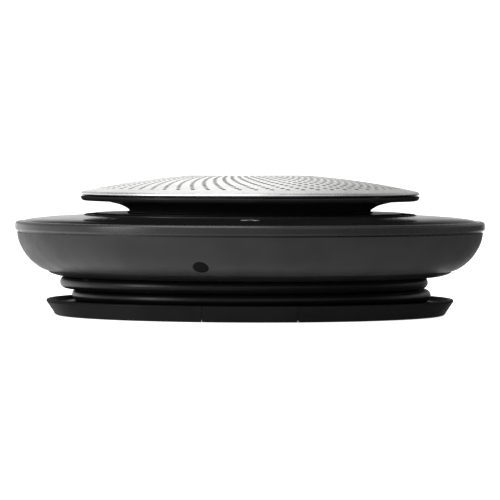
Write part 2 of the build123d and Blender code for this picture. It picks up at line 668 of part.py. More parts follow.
CORD_START = at_angle(41.0, 58.0)
CORD_EXIT = at_angle(50.2, 34.0)
EXIT_ANGLE = math.degrees(math.atan2(CORD_EXIT[1] - CORD_START[1], CORD_EXIT[0] - CORD_START[0]))
EXIT_PLANE = Plane(origin=(CORD_START[0], CORD_START[1], SEAT_Z), z_dir=(0, 0, 1)).rotated((0, 0, EXIT_ANGLE))

with BuildPart() as cable_drum:
    with BuildSketch(Plane.XY.offset(SEAT_Z)):
        Circle(DRUM_R)
        Circle(DRUM_BORE_R, mode=Mode.SUBTRACT)
    extrude(amount=DRUM_H)
    with BuildSketch(Plane.XY.offset(SEAT_Z)):
        with Locations(*POSTS):
            Circle(POST_R)
        for x, y in POSTS:
            with Locations(Location((x * 1.12, y * 1.12), math.degrees(math.atan2(y, x)))):
                Rectangle(12.0, 1.4)
    extrude(amount=DRUM_H)
    with BuildSketch(Plane.XY.offset(SEAT_Z)):
        with Locations(((BAY_X0 + BAY_X1) / 2, BAY_Y + 10.0)):
            Rectangle(BAY_X1 - BAY_X0 + 2 * BAY_WALL, 20.0 + 2 * BAY_WALL)
        Circle(DRUM_R, mode=Mode.INTERSECT)
    extrude(amount=DRUM_H)
    with BuildSketch(Plane.XY.offset(SEAT_Z)):
        with Locations(((BAY_X0 + BAY_X1) / 2, BAY_Y + 12.0)):
            Rectangle(BAY_X1 - BAY_X0, 24.0)
    extrude(amount=DRUM_H, mode=Mode.SUBTRACT)
    with BuildSketch(EXIT_PLANE.offset(0.9)):
        with Locations((2.7, 0)):
            Rectangle(7.3, 8.2)
    extrude(amount=DRUM_H, mode=Mode.SUBTRACT)
    with BuildSketch(EXIT_PLANE.offset(4.0)):
        with Locations((14.0, -1.2)):
            Rectangle(20.0, CORD_D + 2.6)
    extrude(amount=DRUM_H, mode=Mode.SUBTRACT)
    with BuildSketch(Plane.XY.offset(SEAT_Z)):
        with Locations(*POSTS):
            Circle(SCREW_HOLE_R)
    extrude(amount=DRUM_H, mode=Mode.SUBTRACT)
cable_drum.part.label = "cable_drum"
export_step(cable_drum.part, "parts/cable_drum.step")

with BuildPart() as drum_screws:
    with BuildSketch(Plane.XY.offset(COVER_TOP_Z)):
        with Locations(*POSTS):
            Circle(PAN_HEAD_R)
    extrude(amount=PAN_HEAD_H)
    with BuildSketch(Plane.XY.offset(COVER_TOP_Z)):
        with Locations(*POSTS):
            Circle(SCREW_R)
    extrude(amount=-5.2)
drum_screws.part.label = "drum_screws"
export_step(drum_screws.part, "parts/drum_screws.step")

with BuildPart() as cord_clamp:
    with BuildSketch(EXIT_PLANE.offset(1.0)):
        with Locations((3.2, 0)):
            Rectangle(6.0, 8.0)
    extrude(amount=DRUM_H - 1.05)
    with BuildSketch(EXIT_PLANE.offset(UPPER_TURN_Z - SEAT_Z)):
        with Locations((3.2, 0)):
            Rectangle(8.0, CORD_D + 0.06)
    extrude(amount=DRUM_H, mode=Mode.SUBTRACT)
    with BuildSketch(Plane(origin=(CORD_START[0], CORD_START[1], UPPER_TURN_Z), x_dir=(0, 0, 1),
                           z_dir=EXIT_PLANE.x_dir).offset(-1.0)):
        Circle(CORD_R + 0.03)
    extrude(amount=9.0, mode=Mode.SUBTRACT)
cord_clamp.part.label = "cord_clamp"
export_step(cord_clamp.part, "parts/cord_clamp.step")


def turn_points(radius, centre_x, first, last, z_first, z_last):
    """Points of part of a turn, clockwise from above, at equal angles, with the height run evenly."""
    count = round(abs(last - first) / TURN_STEP)
    points = []
    for i in range(count + 1):
        share = i / count
        x, y, _ = at_angle(radius, first + (last - first) * share)
        points.append((x + centre_x, y, z_first + (z_last - z_first) * share))
    return points


# The lead leaves the clamp, makes the upper turn, drops to the lower turn behind, and ends in the plug.
UPPER_R = 50.9
LOWER_R = 49.6
UPPER_SHIFT = -1.7
LOWER_SHIFT = 0.4
route_points = [(CORD_START[0], CORD_START[1], UPPER_TURN_Z), (CORD_EXIT[0], CORD_EXIT[1], UPPER_TURN_Z)]
route_points += turn_points(UPPER_R, UPPER_SHIFT, 14.0, -226.0, UPPER_TURN_Z, UPPER_TURN_Z)
route_points += turn_points(LOWER_R + 0.3, 0.0, -246.0, -286.0, 8.4, 6.4)
route_points += turn_points(LOWER_R, LOWER_SHIFT, -306.0, -566.0, LOWER_TURN_Z, LOWER_TURN_Z)
route_points += [(-34.5, PLUG_Y - 1.0, 6.6), (PLUG_TAIL_X + 1.5, PLUG_Y, PLUG_Z)]
corner_radii = []
for before, here, after in zip(route_points, route_points[1:], route_points[2:]):
    run_in = Vector(*here) - Vector(*before)
    run_out = Vector(*after) - Vector(*here)
    shorter = min(run_in.length, run_out.length)
    corner_radii.append(0.45 * shorter / math.tan(math.radians(run_in.get_angle(run_out) / 2)))

with BuildPart() as usb_cord:
    with BuildLine() as route:
        FilletPolyline(*route_points, radius=corner_radii)
    lead = route.wires()[0]
    with BuildSketch(Plane(lead @ 0, z_dir=lead % 0)):
        Circle(CORD_R)
    sweep(path=lead)
usb_cord.part.label = "usb_cord"
export_step(usb_cord.part, "parts/usb_cord.step")
print("cord length", round(lead.length, 1), "tightest arc", round(min(corner_radii), 1))

PLUG_PLANE = Plane(origin=(PLUG_TAIL_X, PLUG_Y, PLUG_Z), x_dir=(0, 1, 0), z_dir=(1, 0, 0))
with BuildPart() as usb_plug_body:
    with BuildSketch(PLUG_PLANE.offset(PLUG_TAIL_L)):
        RectangleRounded(PLUG_BODY_W, PLUG_BODY_H, 1.6)
    extrude(amount=PLUG_BODY_L - PLUG_TAIL_L)
    with BuildSketch(PLUG_PLANE.offset(PLUG_TAIL_L)):
        RectangleRounded(PLUG_BODY_W, PLUG_BODY_H, 1.6)
    with BuildSketch(PLUG_PLANE):
        Circle(2.6)
    loft()
    with BuildSketch(PLUG_PLANE.offset(PLUG_BODY_L)):
        Rectangle(PLUG_SHELL_W, PLUG_SHELL_H)
    extrude(amount=-PLUG_SEAT_L, mode=Mode.SUBTRACT)
    with BuildSketch(PLUG_PLANE):
        Circle(CORD_R + 0.25)
    extrude(amount=1.8, mode=Mode.SUBTRACT)
usb_plug_body.part.label = "usb_plug_body"
export_step(usb_plug_body.part, "parts/usb_plug_body.step")

with BuildPart() as usb_plug_shell:
    with BuildSketch(PLUG_PLANE.offset(PLUG_BODY_L - PLUG_SEAT_L)):
        Rectangle(PLUG_SHELL_W, PLUG_SHELL_H)
        Rectangle(PLUG_SHELL_W - 2 * PLUG_SHELL_T, PLUG_SHELL_H - 2 * PLUG_SHELL_T, mode=Mode.SUBTRACT)
    extrude(amount=PLUG_SHELL_L + PLUG_SEAT_L)
    with BuildSketch(Plane.XY.offset(PLUG_Z)):
        with Locations((PLUG_TAIL_X + PLUG_BODY_L + 6.5, PLUG_Y)):
            with GridLocations(0, 5.4, 1, 2):
                Rectangle(2.4, 2.2)
    extrude(amount=PLUG_SHELL_H, both=True, mode=Mode.SUBTRACT)
usb_plug_shell.part.label = "usb_plug_shell"
export_step(usb_plug_shell.part, "parts/usb_plug_shell.step")

with BuildPart() as usb_plug_tongue:
    with BuildSketch(PLUG_PLANE.offset(PLUG_BODY_L - PLUG_SEAT_L)):
        with Locations((0, 0.9)):
            Rectangle(PLUG_SHELL_W - 0.8, 1.9)
    extrude(amount=PLUG_SHELL_L + PLUG_SEAT_L - 0.6)
usb_plug_tongue.part.label = "usb_plug_tongue"
export_step(usb_plug_tongue.part, "parts/usb_plug_tongue.step")


# ---- base, foot and stand -----------------------------------------------------------------------
DISH_UNDER_Z = 2.1
SOLE_Z = FOOT_DROP
WALL_SOLE_Z = 0.05       # lower edge of the sloping wall
FOOT_IN_R = 46.0
FOOT_OUT_R = 51.0
FOOT_TOP_Z = 0.9
WALL_IN_R = 53.0
WALL_TOP_Z = 3.3
CHEEK_W = 3.5            # bearing block on each side of the flap's slot
TAB_IN_R = 53.9


def dish_edge(inner_r):
    """Section of the dish's rim, from its inner radius out to the sloping wall and the rolled lip."""
    with BuildSketch(Plane.XZ) as section:
        with BuildLine():
            Line((inner_r, WALL_SOLE_Z), (54.4, WALL_SOLE_Z))
            ThreePointArc((54.4, WALL_SOLE_Z), (55.0, 0.35), (55.35, 0.9))
            Line((55.35, 0.9), (57.3, 3.75))
            ThreePointArc((57.3, 3.75), (57.38, 4.4), (56.85, 4.65))
            Polyline((56.85, 4.65), (56.35, 4.45), (55.3, 3.4), (54.6, WALL_TOP_Z), (inner_r, WALL_TOP_Z),
                     (inner_r, WALL_SOLE_Z))
        make_face()
    return section.sketch


with BuildPart() as base_dish:
    revolve(dish_edge(WALL_IN_R), axis=Axis.Z)
    revolve(outline((0, DISH_UNDER_Z), (WALL_IN_R + 0.5, DISH_UNDER_Z), (WALL_IN_R + 0.5, WALL_TOP_Z),
                    (51.6, 3.88), (46.8, 3.88), (46.5, SEAT_Z), (0, SEAT_Z)), axis=Axis.Z)
    with BuildSketch(Plane.XY.offset(DISH_UNDER_Z)):
        with Locations((0, HINGE_Y)):
            Rectangle(2 * (SLOT_HALF_W + CHEEK_W), 8.0)
    extrude(amount=3.6)
    with BuildSketch(Plane.XY.offset(DISH_UNDER_Z)):
        with Locations((0, HINGE_Y)):
            Rectangle(2 * SLOT_HALF_W, 11.0)
    extrude(amount=6.0, mode=Mode.SUBTRACT)
    with BuildSketch(Plane.XY):
        with Locations((0, -34.0)):
            Rectangle(2 * SLOT_HALF_W, 68.0)
    extrude(amount=DISH_UNDER_Z, mode=Mode.SUBTRACT)
    with BuildSketch(Plane.XY):
        with Locations((0, -57.0)):
            Rectangle(2 * SLOT_HALF_W, 20.0)
        Circle(TAB_IN_R - GAP, mode=Mode.SUBTRACT)
    extrude(amount=6.0, mode=Mode.SUBTRACT)
    with BuildSketch(Plane.YZ.offset(-20.0)):
        with Locations((HINGE_Y, HINGE_Z)):
            Circle(HINGE_PIN_R + 0.03)
    extrude(amount=40.0, mode=Mode.SUBTRACT)
    with BuildSketch(Plane.XY.offset(DISH_UNDER_Z)):
        with Locations(*POSTS):
            Circle(CLEAR_HOLE_R)
    extrude(amount=2.0, mode=Mode.SUBTRACT)
base_dish.part.label = "base_dish"
export_step(base_dish.part, "parts/base_dish.step")

PLATE_R = 52.9
with BuildPart() as base_plate:
    with BuildSketch(Plane.XY.offset(SOLE_Z)):
        Circle(PLATE_R)
        with Locations((0, -34.5)):
            Rectangle(2 * SLOT_HALF_W, 50.0, mode=Mode.SUBTRACT)
        with Locations(*POSTS):
            Circle(CLEAR_HOLE_R, mode=Mode.SUBTRACT)
    extrude(amount=DISH_UNDER_Z - SOLE_Z)
    with BuildSketch(Plane.XY.offset(SOLE_Z)):
        Circle(FOOT_OUT_R + FIT)
        Circle(FOOT_IN_R - FIT, mode=Mode.SUBTRACT)
    extrude(amount=FOOT_TOP_Z - SOLE_Z, mode=Mode.SUBTRACT)
    with BuildSketch(Plane.XY.offset(SOLE_Z)):
        with Locations(*POSTS):
            Circle(SUNK_SEAT_R)
    extrude(amount=HEAD_DEPTH, taper=45, mode=Mode.SUBTRACT)
base_plate.part.label = "base_plate"
export_step(base_plate.part, "parts/base_plate.step")

with BuildPart() as base_screws:
    with BuildSketch(Plane.XY.offset(SOLE_Z)):
        with Locations(*POSTS):
            Circle(SUNK_HEAD_R)
    extrude(amount=HEAD_DEPTH, taper=45)
    with BuildSketch(Plane.XY.offset(SOLE_Z + 1.0)):
        with Locations(*POSTS):
            Circle(SCREW_R)
    extrude(amount=5.8)
base_screws.part.label = "base_screws"
export_step(base_screws.part, "parts/base_screws.step")

with BuildPart() as foot_ring:
    with BuildSketch(Plane.XY):
        Circle(FOOT_OUT_R)
        Circle(FOOT_IN_R, mode=Mode.SUBTRACT)
        with Locations((0, -50.0)):
            Rectangle(2 * SLOT_HALF_W + 1.6, 20.0, mode=Mode.SUBTRACT)
    extrude(amount=FOOT_TOP_Z)
foot_ring.part.label = "foot_ring"
export_step(foot_ring.part, "parts/foot_ring.step")

LABEL_T = 0.12
with BuildPart() as rating_label:
    with BuildSketch(Plane.XY.offset(SOLE_Z - LABEL_T)):
        with Locations((0, 14.0)):
            RectangleRounded(34.0, 20.0, 2.0)
    extrude(amount=LABEL_T)
rating_label.part.label = "rating_label"
export_step(rating_label.part, "parts/rating_label.step")

FLAP_Z = 0.4
FLAP_TOP_Z = 1.85
PAD_W = 22.0
with BuildPart() as stand_flap:
    with BuildSketch(Plane.XY.offset(FLAP_Z)):
        with Locations((0, (HINGE_Y - 54.0) / 2)):
            Rectangle(2 * STAND_HALF_W, 54.0 + HINGE_Y)
        Circle(TAB_IN_R + 0.2, mode=Mode.INTERSECT)
    extrude(amount=FLAP_TOP_Z - FLAP_Z)
    with BuildSketch(Plane.YZ.offset(-STAND_HALF_W)):
        with Locations((HINGE_Y, HINGE_Z)):
            Circle(BARREL_R)
    extrude(amount=2 * STAND_HALF_W)
    revolve(dish_edge(TAB_IN_R), axis=Axis.Z)
    with BuildSketch(Plane.XY):
        with Locations((0, -40.0)):
            Rectangle(2 * STAND_HALF_W, 60.0)
    extrude(amount=8.0, mode=Mode.INTERSECT)
    with BuildSketch(Plane.YZ.offset(-STAND_HALF_W)):
        with Locations((HINGE_Y, HINGE_Z)):
            Circle(HINGE_PIN_R + FIT)
    extrude(amount=2 * STAND_HALF_W, mode=Mode.SUBTRACT)
    with BuildSketch(Plane.XY.offset(FLAP_Z)):
        Circle(FOOT_OUT_R + FIT)
        Circle(FOOT_IN_R - FIT, mode=Mode.SUBTRACT)
        with Locations((0, -48.0)):
            Rectangle(PAD_W + 2 * FIT, 20.0, mode=Mode.INTERSECT)
    extrude(amount=FOOT_TOP_Z - FLAP_Z, mode=Mode.SUBTRACT)
stand_flap.part.label = "stand_flap"
export_step(stand_flap.part, "parts/stand_flap.step")

with BuildPart() as stand_pad:
    with BuildSketch(Plane.XY):
        Circle(FOOT_OUT_R)
        Circle(FOOT_IN_R, mode=Mode.SUBTRACT)
        with Locations((0, -48.0)):
            Rectangle(PAD_W, 20.0, mode=Mode.INTERSECT)
    extrude(amount=FOOT_TOP_Z)
stand_pad.part.label = "stand_pad"
export_step(stand_pad.part, "parts/stand_pad.step")

PIN_HALF_L = 16.5
with BuildPart() as stand_pin:
    with BuildSketch(Plane.YZ.offset(-PIN_HALF_L)):
        with Locations((HINGE_Y, HINGE_Z)):
            Circle(HINGE_PIN_R)
    extrude(amount=2 * PIN_HALF_L)
stand_pin.part.label = "stand_pin"
export_step(stand_pin.part, "parts/stand_pin.step")

SPRING_TIP_Y = HINGE_Y + BARREL_R + GAP
SPRING_L = 14.0
SPRING_W = 10.0
SPRING_T = 0.35
with BuildPart() as stand_spring:
    with BuildSketch(Plane.XY.offset(SEAT_Z)):
        with Locations((0, SPRING_TIP_Y + SPRING_L / 2)):
            Rectangle(SPRING_W, SPRING_L)
    extrude(amount=SPRING_T)
    with BuildSketch(Plane.XY.offset(SEAT_Z)):
        with Locations((0, SPRING_TIP_Y + SPRING_T / 2)):
            Rectangle(SPRING_W, SPRING_T)
    extrude(amount=1.6)
stand_spring.part.label = "stand_spring"
export_step(stand_spring.part, "parts/stand_spring.step")
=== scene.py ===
import json
import math

import bpy
from mathutils import Matrix, Vector
from mathutils.bvhtree import BVHTree


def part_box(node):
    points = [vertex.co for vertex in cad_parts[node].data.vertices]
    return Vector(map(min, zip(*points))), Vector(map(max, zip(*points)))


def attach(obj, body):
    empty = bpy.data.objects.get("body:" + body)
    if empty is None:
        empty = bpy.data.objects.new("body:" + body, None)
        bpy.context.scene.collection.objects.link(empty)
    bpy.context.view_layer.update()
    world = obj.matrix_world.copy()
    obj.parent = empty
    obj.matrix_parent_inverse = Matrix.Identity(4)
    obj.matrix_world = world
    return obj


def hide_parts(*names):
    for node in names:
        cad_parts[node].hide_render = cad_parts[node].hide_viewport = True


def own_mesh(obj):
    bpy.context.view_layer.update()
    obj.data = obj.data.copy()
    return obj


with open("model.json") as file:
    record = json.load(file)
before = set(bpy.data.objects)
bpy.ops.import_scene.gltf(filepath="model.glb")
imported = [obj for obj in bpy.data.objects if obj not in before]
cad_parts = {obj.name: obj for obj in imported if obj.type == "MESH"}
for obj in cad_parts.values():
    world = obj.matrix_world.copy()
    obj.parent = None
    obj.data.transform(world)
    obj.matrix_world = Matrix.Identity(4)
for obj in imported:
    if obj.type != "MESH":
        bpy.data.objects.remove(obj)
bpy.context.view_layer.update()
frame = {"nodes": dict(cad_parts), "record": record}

MM = 0.001
CAD = frame["nodes"]


# ---------------------------------------------------------------- shader node helpers

def product(tree, first, second):
    node = tree.nodes.new("ShaderNodeMath")
    node.operation = "MULTIPLY"
    tree.links.new(first, node.inputs[0])
    tree.links.new(second, node.inputs[1])
    return node.outputs["Value"]


def map_range(tree, value, source, target, smooth=False):
    node = tree.nodes.new("ShaderNodeMapRange")
    node.interpolation_type = "SMOOTHSTEP" if smooth else "LINEAR"
    tree.links.new(value, node.inputs["Value"])
    node.inputs["From Min"].default_value = source[0]
    node.inputs["From Max"].default_value = source[1]
    node.inputs["To Min"].default_value = target[0]
    node.inputs["To Max"].default_value = target[1]
    return node.outputs["Result"]


def cross_fade(tree, value, span, below, above):
    """One level where value is below the span and another above it, with a soft change between."""
    mix = tree.nodes.new("ShaderNodeMix")
    tree.links.new(map_range(tree, value, span, (0.0, 1.0), smooth=True), mix.inputs["Factor"])
    tree.links.new(below, mix.inputs["A"])
    tree.links.new(above, mix.inputs["B"])
    return mix.outputs["Result"]


# ---------------------------------------------------------------- camera, light and floor

CAMERA_BACK = 1355 * MM
CAMERA_HEIGHT = 55 * MM
AIM_HEIGHT = 18.3 * MM
LENS = 345.7
SENSOR = 36
ROLL = math.radians(0.15)

# Brightness of the surroundings, as (span of a direction's component), (levels at its two ends).
WINDOW_LEFT = (-0.1, -0.05), (0.42, 1.0)
WINDOW_RIGHT = (0.015, 0.06), (1.45, 0.42)
HORIZON = (0.07, 0.4), (1.2, 0.08)
CEILING = (0.4, 0.62), (1.0, 0.4)
ROOM_LOW = (-0.9, 0.45), (0.85, 0.04)
ROOM_HIGH = (0.4, 1.0), (0.8, 0.25)

# Spans over which one part of the surroundings gives way to the next.
HORIZON_TO_WINDOW = (0.03, 0.1)
ROOM_LOW_TO_HIGH = (0.05, 0.25)
ROOM_TO_WALL = (-0.15, 0.3)

FLOOR_HALF = 8.0


def make_camera():
    data = bpy.data.cameras.new("camera")
    data.lens = LENS
    data.sensor_width = SENSOR
    data.clip_start = 0.05
    data.clip_end = 60
    camera = bpy.data.objects.new("camera", data)
    camera.location = (0, -CAMERA_BACK, CAMERA_HEIGHT)
    aim = Vector((0, 0, AIM_HEIGHT)) - camera.location
    turn = aim.to_track_quat("-Z", "Y").to_matrix() @ Matrix.Rotation(ROLL, 3, "Z")
    camera.rotation_euler = turn.to_euler()
    bpy.context.scene.collection.objects.link(camera)
    bpy.context.scene.camera = camera


def make_world():
    """A white backdrop behind the object, brighter on its left, with a dim room on the camera's side."""
    world = bpy.data.worlds.new("studio")
    world.use_nodes = True
    tree = world.node_tree
    place = tree.nodes.new("ShaderNodeTexCoord")
    split = tree.nodes.new("ShaderNodeSeparateXYZ")
    tree.links.new(place.outputs["Generated"], split.inputs["Vector"])
    across, away, up = (split.outputs[axis] for axis in "XYZ")
    window_left = map_range(tree, across, *WINDOW_LEFT, smooth=True)
    window_right = map_range(tree, across, *WINDOW_RIGHT, smooth=True)
    horizon = map_range(tree, across, *HORIZON, smooth=True)
    wall = cross_fade(tree, up, HORIZON_TO_WINDOW, horizon, product(tree, window_left, window_right))
    wall = product(tree, wall, map_range(tree, up, *CEILING, smooth=True))
    room_low = map_range(tree, across, *ROOM_LOW)
    room_high = map_range(tree, across, *ROOM_HIGH, smooth=True)
    room = cross_fade(tree, up, ROOM_LOW_TO_HIGH, room_low, room_high)
    level = cross_fade(tree, away, ROOM_TO_WALL, room, wall)
    background = tree.nodes["Background"]
    background.inputs["Color"].default_value = (1, 1, 1, 1)
    tree.links.new(level, background.inputs["Strength"])
    bpy.context.scene.world = world
    bpy.context.scene.view_settings.view_transform = "Standard"


def softbox(name, place, size, radiance):
    """A square area light of a given brightness, aimed at the object."""
    data = bpy.data.lights.new(name, "AREA")
    data.shape = "SQUARE"
    data.size = size
    data.energy = radiance * math.pi * size * size
    light = bpy.data.objects.new(name, data)
    light.location = place
    light.rotation_euler = (-Vector(place)).to_track_quat("-Z", "Y").to_euler()
    light.visible_camera = False
    bpy.context.scene.collection.objects.link(light)


def make_lights():
    softbox("softbox_top", place=(-0.5, -0.1, 1.6), size=1.25, radiance=3.6)
    softbox("softbox_left", place=(-2.1, -0.9, 0.6), size=0.9, radiance=6.0)


def make_floor():
    """A pale floor that glows a little, and that doesn't show in reflections."""
    corners = [(-FLOOR_HALF, -FLOOR_HALF, 0), (FLOOR_HALF, -FLOOR_HALF, 0), (FLOOR_HALF, FLOOR_HALF, 0),
               (-FLOOR_HALF, FLOOR_HALF, 0)]
    mesh = bpy.data.meshes.new("floor")
    mesh.from_pydata(corners, [], [(0, 1, 2, 3)])
    floor = bpy.data.objects.new("floor", mesh)
    bpy.context.scene.collection.objects.link(floor)
    material, _, shader = new_material("floor_white", (0.86, 0.86, 0.86), 0.8)
    shader.inputs["Specular IOR Level"].default_value = 0.1
    shader.inputs["Emission Color"].default_value = (1, 1, 1, 1)
    shader.inputs["Emission Strength"].default_value = 0.92
    mesh.materials.append(material)
    floor.visible_glossy = False


# ---------------------------------------------------------------- materials

def new_material(name, color, roughness, metallic=0.0, **sockets):
    """A principled material; further sockets are given by name with _ for a space."""
    material = bpy.data.materials.new(name)
    material.use_nodes = True
    tree = material.node_tree
    shader = tree.nodes["Principled BSDF"]
    shader.inputs["Base Color"].default_value = (*color, 1)
    shader.inputs["Roughness"].default_value = roughness
    shader.inputs["Metallic"].default_value = metallic
    for socket, value in sockets.items():
        shader.inputs[socket.replace("_", " ")].default_value = value
    return material, tree, shader


def place_node(tree, stretch=(1, 1, 1)):
    """Texture coordinates in metres in the object's own frame, stretched by axis."""
    coordinates = tree.nodes.new("ShaderNodeTexCoord")
    mapping = tree.nodes.new("ShaderNodeMapping")
    mapping.inputs["Scale"].default_value = stretch
    tree.links.new(coordinates.outputs["Object"], mapping.inputs["Vector"])
    return mapping.outputs["Vector"]


def noise(tree, grain, detail=2.0, stretch=(1, 1, 1)):
    """Noise whose blobs are about grain metres across."""
    node = tree.nodes.new("ShaderNodeTexNoise")
    node.inputs["Scale"].default_value = 1 / grain
    node.inputs["Detail"].default_value = detail
    tree.links.new(place_node(tree, stretch), node.inputs["Vector"])
    return node.outputs["Fac"]


def add_bump(tree, shader, height, depth):
    node = tree.nodes.new("ShaderNodeBump")
    node.inputs["Distance"].default_value = depth
    node.inputs["Strength"].default_value = 1.0
    tree.links.new(height, node.inputs["Height"])
    tree.links.new(node.outputs["Normal"], shader.inputs["Normal"])


def add_tones(tree, shader, factor, dark, light):
    """Base colour that runs between two tones."""
    ramp = tree.nodes.new("ShaderNodeValToRGB")
    ramp.color_ramp.elements[0].position = 0.3
    ramp.color_ramp.elements[0].color = (*dark, 1)
    ramp.color_ramp.elements[1].position = 0.7
    ramp.color_ramp.elements[1].color = (*light, 1)
    tree.links.new(factor, ramp.inputs["Fac"])
    tree.links.new(ramp.outputs["Color"], shader.inputs["Base Color"])


def shade(color, factor):
    return tuple(min(1.0, c * factor) for c in color)


def plastic(name, color, roughness, grain=0.25 * MM, depth=0.006 * MM, **sockets):
    """Moulded plastic: fine spark texture, faint tone drift, and handling marks in the gloss."""
    material, tree, shader = new_material(name, color, roughness, **sockets)
    add_tones(tree, shader, noise(tree, 14 * MM, 3), shade(color, 0.88), shade(color, 1.12))
    marks = noise(tree, 6 * MM, 5)
    level = map_range(tree, marks, (0.3, 0.75), (roughness * 0.85, roughness * 1.2))
    tree.links.new(level, shader.inputs["Roughness"])
    add_bump(tree, shader, noise(tree, grain, 3), depth)
    return material


def gloss_black(name, level, roughness, depth=0.001 * MM, rim=0.0, mirror=0.5):
    """Polished black plastic, with the share of it that reflects like a mirror.

    rim is how much of that mirror it keeps at low angles.
    """
    material = plastic(name, (level, level, level * 1.03), roughness, depth=depth, Metallic=mirror,
                       Specular_IOR_Level=0.0)
    shader = material.node_tree.nodes["Principled BSDF"]
    shader.inputs["Specular Tint"].default_value = (rim, rim, rim, 1)
    return material


def metal(name, color, roughness, stretch=(1, 1, 1), grain=0.4 * MM, depth=0.003 * MM):
    """Bare metal with a fine grain, drawn out along one axis where it is brushed."""
    material, tree, shader = new_material(name, color, roughness, 1.0)
    grains = noise(tree, grain, 4, stretch)
    add_tones(tree, shader, noise(tree, 5 * MM, 3), shade(color, 0.9), shade(color, 1.06))
    level = map_range(tree, grains, (0.3, 0.7), (roughness * 0.75, roughness * 1.3))
    tree.links.new(level, shader.inputs["Roughness"])
    add_bump(tree, shader, grains, depth)
    return material


def foam(name, color):
    """Open-cell foam: lighter cell walls, with painted shade darkening the sunken pores between them."""
    material, tree, shader = new_material(name, color, 0.95)
    cells = tree.nodes.new("ShaderNodeTexVoronoi")
    cells.inputs["Scale"].default_value = 1 / (0.5 * MM)
    tree.links.new(place_node(tree), cells.inputs["Vector"])
    # Colour follows the relief: darker where the surface is sunk, a painted shade in the pores.
    add_tones(tree, shader, cells.outputs["Distance"], shade(color, 1.5), shade(color, 0.5))
    add_bump(tree, shader, cells.outputs["Distance"], -0.12 * MM)
    return material


def woven(name, dark, light, pitch):
    """Plain weave from two crossed sets of threads, with painted shade where the threads dip."""
    material, tree, shader = new_material(name, light, 0.9)
    threads = []
    for direction in "XY":
        wave = tree.nodes.new("ShaderNodeTexWave")
        wave.bands_direction = direction
        wave.inputs["Scale"].default_value = 1 / (pitch * math.tau)
        wave.inputs["Distortion"].default_value = 0.6
        tree.links.new(place_node(tree, (1, 1, 0)), wave.inputs["Vector"])
        threads.append(wave.outputs["Fac"])
    height = product(tree, *threads)
    # Darker where the threads dip, as the bump below sinks them: painted shade between the threads.
    add_tones(tree, shader, height, dark, light)
    add_bump(tree, shader, height, 0.06 * MM)
    return material


def board(name):
    """Circuit board: solder mask over a grid of copper traces."""
    material, tree, shader = new_material(name, (0.02, 0.11, 0.05), 0.35, Coat_Weight=0.3)
    bricks = tree.nodes.new("ShaderNodeTexBrick")
    bricks.inputs["Scale"].default_value = 1 / (9 * MM)
    bricks.inputs["Mortar Size"].default_value = 0.03
    bricks.inputs["Color1"].default_value = (0.012, 0.075, 0.032, 1)
    bricks.inputs["Color2"].default_value = (0.018, 0.1, 0.045, 1)
    bricks.inputs["Mortar"].default_value = (0.05, 0.22, 0.09, 1)
    tree.links.new(place_node(tree), bricks.inputs["Vector"])
    tree.links.new(bricks.outputs["Color"], shader.inputs["Base Color"])
    add_bump(tree, shader, bricks.outputs["Fac"], 0.03 * MM)
    return material


def fibrous(name, color):
    """Pressed paper pulp: short fibres in the tone and the relief."""
    material, tree, shader = new_material(name, color, 0.85)
    fibres = noise(tree, 0.7 * MM, 6, (1, 3, 1))
    add_tones(tree, shader, fibres, shade(color, 0.7), shade(color, 1.35))
    add_bump(tree, shader, fibres, 0.05 * MM)
    return material


def windings(name, color):
    """Enamelled wire wound round the vertical axis, with painted shade in the grooves between turns."""
    material, tree, shader = new_material(name, color, 0.25, 1.0)
    wave = tree.nodes.new("ShaderNodeTexWave")
    wave.bands_direction = "Z"
    wave.inputs["Scale"].default_value = 1 / (0.25 * MM * math.tau)
    tree.links.new(place_node(tree), wave.inputs["Vector"])
    # The grooves between turns take half the wire's colour: painted shade.
    add_tones(tree, shader, wave.outputs["Fac"], shade(color, 0.5), color)
    add_bump(tree, shader, wave.outputs["Fac"], 0.05 * MM)
    return material


